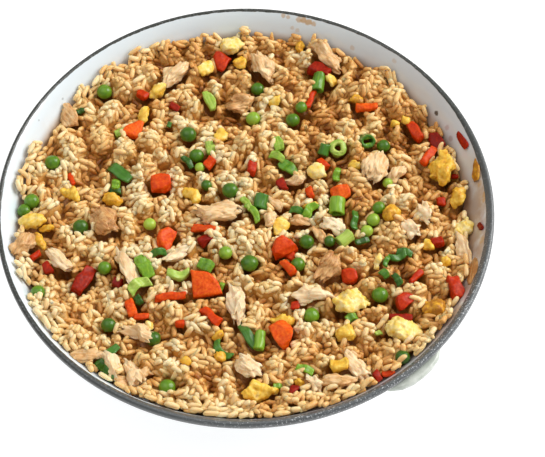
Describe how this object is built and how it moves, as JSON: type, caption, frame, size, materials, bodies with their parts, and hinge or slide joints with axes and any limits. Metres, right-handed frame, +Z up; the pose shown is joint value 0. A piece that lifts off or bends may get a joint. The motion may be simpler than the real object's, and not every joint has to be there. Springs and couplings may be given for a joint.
{
  "type": "pan of fried rice",
  "caption": "Fried rice with peas, carrot, spring onion, egg and chicken heaped in a round shallow enamelled pan with a dark rolled rim.",
  "frame": {"origin": "centre of the underside of the pan's base, where it meets the table", "axes": "+Z up out of the pan; -Y towards the diner, so +X is the diner's right hand; the small lug is under the rim towards +X -Y"},
  "size_m": [0.26, 0.26, 0.052],
  "materials": {
    "enamel": "glossy white enamel with a charcoal rim",
    "rice": "moist cooked rice, lightly browned",
    "pea": "moist green skin",
    "carrot": "moist cut carrot",
    "chicken": "moist torn meat, lightly browned",
    "egg": "soft scrambled egg",
    "spring_onion": "glossy green leaf"
  },
  "bodies": {
    "root": {"pan": "enamel", "lug": "enamel", "rice_heap": "rice", "pea_01": "pea", "pea_02": "pea", "pea_03": "pea", "pea_04": "pea", "pea_05": "pea", "pea_06": "pea", "pea_07": "pea", "pea_08": "pea", "pea_09": "pea", "pea_10": "pea", "pea_11": "pea", "pea_12": "pea", "pea_13": "pea", "pea_14": "pea", "pea_15": "pea", "pea_16": "pea", "carrot_01": "carrot", "carrot_02": "carrot", "carrot_03": "carrot", "carrot_04": "carrot", "carrot_05": "carrot", "carrot_06": "carrot", "carrot_07": "carrot", "carrot_08": "carrot", "carrot_09": "carrot", "carrot_10": "carrot", "carrot_11": "carrot", "carrot_12": "carrot", "carrot_13": "carrot", "carrot_14": "carrot", "chicken_01": "chicken", "chicken_02": "chicken", "chicken_03": "chicken", "chicken_04": "chicken", "chicken_05": "chicken", "chicken_06": "chicken", "chicken_07": "chicken", "chicken_08": "chicken", "chicken_09": "chicken", "chicken_10": "chicken", "chicken_11": "chicken", "chicken_12": "chicken", "chicken_13": "chicken", "egg_01": "egg", "egg_02": "egg", "egg_03": "egg", "egg_04": "egg", "egg_05": "egg", "spring_onion_leaf_01": "spring_onion", "spring_onion_leaf_02": "spring_onion", "spring_onion_leaf_03": "spring_onion", "spring_onion_leaf_04": "spring_onion", "spring_onion_leaf_05": "spring_onion", "spring_onion_leaf_06": "spring_onion", "spring_onion_ring_01": "spring_onion", "spring_onion_ring_02": "spring_onion"}
  },
  "joints": []
}
